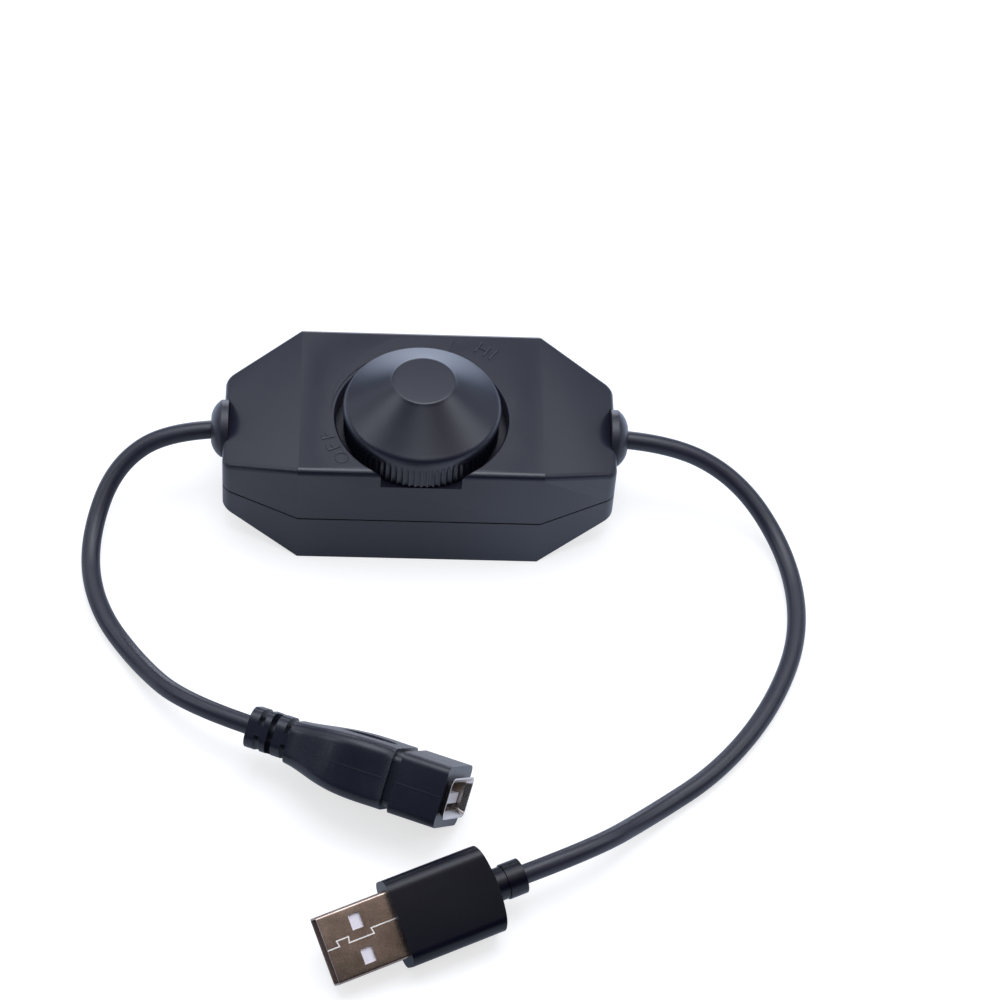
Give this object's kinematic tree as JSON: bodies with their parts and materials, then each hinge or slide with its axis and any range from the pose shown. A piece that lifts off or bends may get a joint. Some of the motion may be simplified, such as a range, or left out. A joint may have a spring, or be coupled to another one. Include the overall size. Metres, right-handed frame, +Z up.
{
  "type": "rotary cord dimmer",
  "caption": "Inline rotary dimmer in a faceted two-part case with a large fluted knob, captive cords with a moulded plug and a moulded socket.",
  "frame": {"origin": "middle of the case's flat underside", "axes": "+X along the case to the end where the supply cord with the plug leaves, +Y to the back, away from the side where the knob stands out of the case, +Z up, the knob's side"},
  "size_m": [0.136, 0.1345, 0.034],
  "materials": {
    "case_black": "satin, finely textured moulding",
    "knob_black": "satin moulding",
    "zinc_steel": "zinc plated",
    "turned_brass": "turned, nickel flashed",
    "spring_brass": "stamped spring sheet",
    "tinned_metal": "tinned",
    "turned_aluminium": "turned, satin",
    "phenolic_board": "phenolic paper board",
    "white_plastic": "moulded",
    "board_green": "lacquered board",
    "component_black": "moulded package",
    "capacitor_tan": "sintered",
    "capacitor_sleeve": "shrink sleeve",
    "rubber_black": "moulded, slightly glossy",
    "cord_black": "flexible cord jacket, slightly glossy",
    "lead_red": "wire insulation",
    "lead_black": "wire insulation",
    "moulding_black": "overmoulded, satin",
    "plated_shell": "nickel plated, folded sheet",
    "insulator_white": "moulded insulator",
    "gold_contact": "gold flashed spring contact"
  },
  "bodies": {
    "case": {"upper_shell": "case_black", "lower_shell": "case_black", "case_screws": "zinc_steel", "control_bush": "turned_brass", "control_can": "zinc_steel", "control_wafer": "phenolic_board", "control_switch": "white_plastic", "control_terminals": "tinned_metal", "control_washer": "zinc_steel", "control_nut": "zinc_steel", "circuit_board": "board_green", "power_transistor": "component_black", "control_chip": "component_black", "flyback_diode": "component_black", "chip_resistors": "component_black", "chip_capacitors": "capacitor_tan", "filter_capacitor": "capacitor_sleeve", "left_grommet": "rubber_black", "right_grommet": "rubber_black", "output_lead_red": "lead_red", "output_lead_black": "lead_black", "input_lead_red": "lead_red", "input_lead_black": "lead_black", "output_cord": "cord_black", "input_cord": "cord_black", "plug_grip": "moulding_black", "plug_shell": "plated_shell", "plug_tongue": "insulator_white", "plug_contacts": "gold_contact", "socket_grip": "moulding_black", "socket_shell": "plated_shell", "socket_tongue": "insulator_white", "socket_contacts": "gold_contact"},
    "knob": {"control_knob": "knob_black", "control_shaft": "turned_aluminium", "control_rotor": "white_plastic", "control_wiper": "spring_brass"}
  },
  "joints": [
    {"name": "knob_turn", "type": "hinge", "parent": "case", "child": "knob", "pos_m": [0, -0.0039, 0.021], "axis": [0, 0, -1], "range_deg": [0, 300]}
  ]
}
